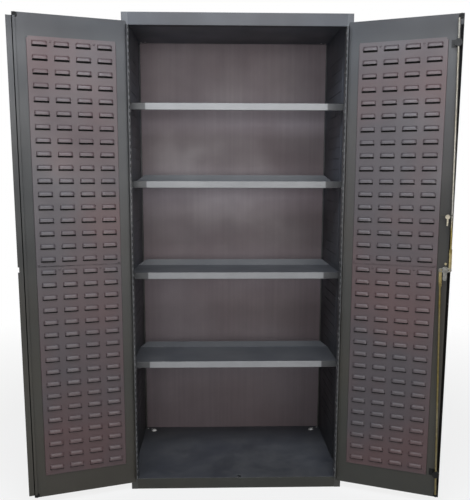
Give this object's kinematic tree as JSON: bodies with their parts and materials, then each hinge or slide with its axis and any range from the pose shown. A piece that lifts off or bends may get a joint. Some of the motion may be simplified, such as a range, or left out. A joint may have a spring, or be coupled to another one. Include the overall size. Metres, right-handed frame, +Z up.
{
  "type": "industrial cabinet",
  "caption": "Tall steel storage cabinet with double doors on piano hinges, louvred inner panels, adjustable shelves and a rod latch.",
  "frame": {"origin": "centre of the carcass footprint at floor level", "axes": "+X to the viewer's right, +Y to the back, +Z up; the door opening faces -Y"},
  "size_m": [1.6983, 0.8075, 1.981],
  "materials": {
    "cabinet_paint": "semi-gloss dark grey powder coat",
    "panel_paint": "semi-gloss dark grey powder coat, slightly warmer",
    "zinc": "bright zinc plate",
    "latch_steel": "dull plated steel",
    "guide_black": "black moulded plastic",
    "bumper_rubber": "matt black rubber",
    "handle_chrome": "polished plate",
    "lock_steel": "brushed",
    "tie_plastic": "black nylon",
    "key_metal": "bright nickel plate"
  },
  "bodies": {
    "cabinet": {"left_side_panel": "cabinet_paint", "right_side_panel": "cabinet_paint", "back_panel": "cabinet_paint", "top_panel": "cabinet_paint", "header": "cabinet_paint", "floor_panel": "cabinet_paint", "sill": "cabinet_paint", "base_channel": "cabinet_paint", "left_slot_strip": "cabinet_paint", "right_slot_strip": "cabinet_paint", "shelf_1": "cabinet_paint", "shelf_2": "cabinet_paint", "shelf_3": "cabinet_paint", "shelf_4": "cabinet_paint", "shelf_brackets": "zinc", "frame_leaf_rivets": "zinc", "floor_bolts": "zinc", "corner_studs": "zinc", "left_hinge_frame_leaf": "cabinet_paint", "left_hinge_pin": "zinc", "right_hinge_frame_leaf": "cabinet_paint", "right_hinge_pin": "zinc"},
    "left_door": {"left_door_panel": "cabinet_paint", "left_astragal": "cabinet_paint", "left_bumpers": "bumper_rubber", "left_lower_louvre_panel": "panel_paint", "left_upper_louvre_panel": "panel_paint", "left_panel_screws": "zinc", "left_hinge_door_leaf": "cabinet_paint"},
    "right_door": {"right_door_panel": "cabinet_paint", "right_bumpers": "bumper_rubber", "right_lower_louvre_panel": "panel_paint", "right_upper_louvre_panel": "panel_paint", "right_panel_screws": "zinc", "right_hinge_door_leaf": "cabinet_paint", "upper_guide_bracket": "guide_black", "lower_guide_bracket": "guide_black", "handle_base": "handle_chrome", "handle_screws": "zinc"},
    "handle": {"handle_grip": "handle_chrome", "latch_spindle": "zinc", "latch_cam": "latch_steel", "latch_dog": "latch_steel", "spindle_nut": "zinc"},
    "lock": {"lock_cylinder": "lock_steel"},
    "upper_ball": {"upper_guide_ball": "guide_black"},
    "lower_ball": {"lower_guide_ball": "guide_black"},
    "upper_rod": {"upper_rod": "zinc", "upper_link_pin": "zinc", "key_tie": "tie_plastic", "keys": "key_metal"},
    "lower_rod": {"lower_rod": "zinc", "lower_link_pin": "zinc"}
  },
  "joints": [
    {"name": "left_door_hinge", "type": "hinge", "parent": "cabinet", "child": "left_door", "pos_m": [-0.433, -0.3095, 0.9905], "axis": [0, 0, -1], "range_deg": [-161.6, 18.4]},
    {"name": "right_door_hinge", "type": "hinge", "parent": "cabinet", "child": "right_door", "pos_m": [0.433, -0.3095, 0.9905], "axis": [0, 0, 1], "range_deg": [-157.1, 22.9]},
    {"name": "handle_turn", "type": "hinge", "parent": "right_door", "child": "handle", "pos_m": [0.81345, -0.47021, 0.9885], "axis": [-0.3891, -0.9212, 0], "range_deg": [0, 90]},
    {"name": "lock_turn", "type": "hinge", "parent": "handle", "child": "lock", "pos_m": [0.82544, -0.44184, 0.9885], "axis": [-0.3891, -0.9212, 0], "range_deg": [0, 90]},
    {"name": "upper_ball_swivel", "type": "hinge", "parent": "right_door", "child": "upper_ball", "pos_m": [0.80935, -0.49019, 1.839], "axis": [-0.3891, -0.9212, 0], "range_deg": [-1.24, 0.02]},
    {"name": "lower_ball_swivel", "type": "hinge", "parent": "right_door", "child": "lower_ball", "pos_m": [0.81166, -0.49116, 0.142], "axis": [-0.3891, -0.9212, 0], "range_deg": [-1.23, 0.02]},
    {"name": "upper_rod_slide", "type": "slide", "parent": "upper_ball", "child": "upper_rod", "axis": [-0.0152, 0.0064, 0.9999], "range_m": [0, 0.01821]},
    {"name": "lower_rod_slide", "type": "slide", "parent": "lower_ball", "child": "lower_rod", "axis": [0.0267, -0.0113, -0.9996], "range_m": [0, 0.01843]}
  ],
  "couplings": [
    {"joint": "upper_ball_swivel", "follows": "handle_turn", "ratio": -0.013537},
    {"joint": "lower_ball_swivel", "follows": "handle_turn", "ratio": -0.013426},
    {"joint": "upper_rod_slide", "follows": "handle_turn", "m_per_rad": 0.011526},
    {"joint": "lower_rod_slide", "follows": "handle_turn", "m_per_rad": 0.011669}
  ]
}
